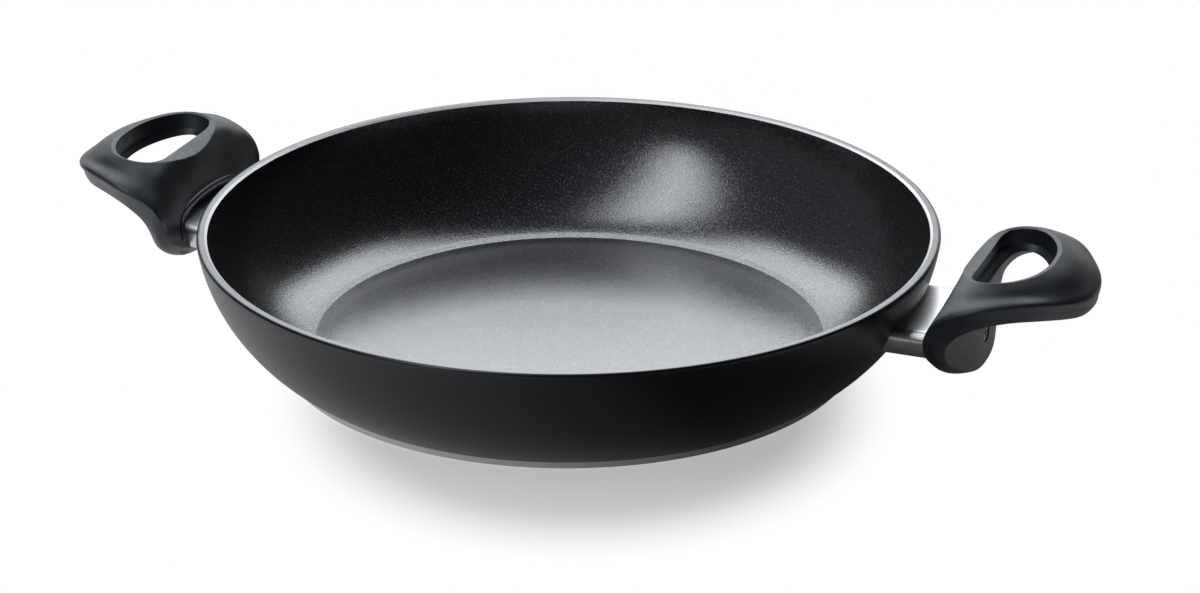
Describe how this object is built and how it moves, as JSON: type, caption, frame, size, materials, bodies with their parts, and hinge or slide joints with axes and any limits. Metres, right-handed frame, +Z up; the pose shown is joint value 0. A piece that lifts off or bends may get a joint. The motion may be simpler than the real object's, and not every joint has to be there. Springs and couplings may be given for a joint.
{
  "type": "two-handled frying pan",
  "caption": "Shallow round frying pan with curved walls, a bare metal rim, a dark coating and two short side handles with finger holes.",
  "frame": {"origin": "centre of the underside, on the surface the pan stands on", "axes": "+Z up along the pan's axis; the handles lie along +X and -X"},
  "size_m": [0.4218, 0.29, 0.0645],
  "materials": {
    "coated_pan": "dark non-stick coating inside, satin dark lacquer outside, bare turned rim and foot",
    "base_steel": "turned",
    "phenolic": "fine matt moulding",
    "ferrule_steel": "brushed",
    "stud_metal": "plain",
    "screw_steel": "plain",
    "washer_steel": "plain"
  },
  "bodies": {
    "root": {"pan_body": "coated_pan", "base_disc": "base_steel", "right_handle": "phenolic", "right_ferrule": "ferrule_steel", "right_stud": "stud_metal", "right_screw": "screw_steel", "right_washer": "washer_steel", "left_handle": "phenolic", "left_ferrule": "ferrule_steel", "left_stud": "stud_metal", "left_screw": "screw_steel", "left_washer": "washer_steel"}
  },
  "joints": []
}
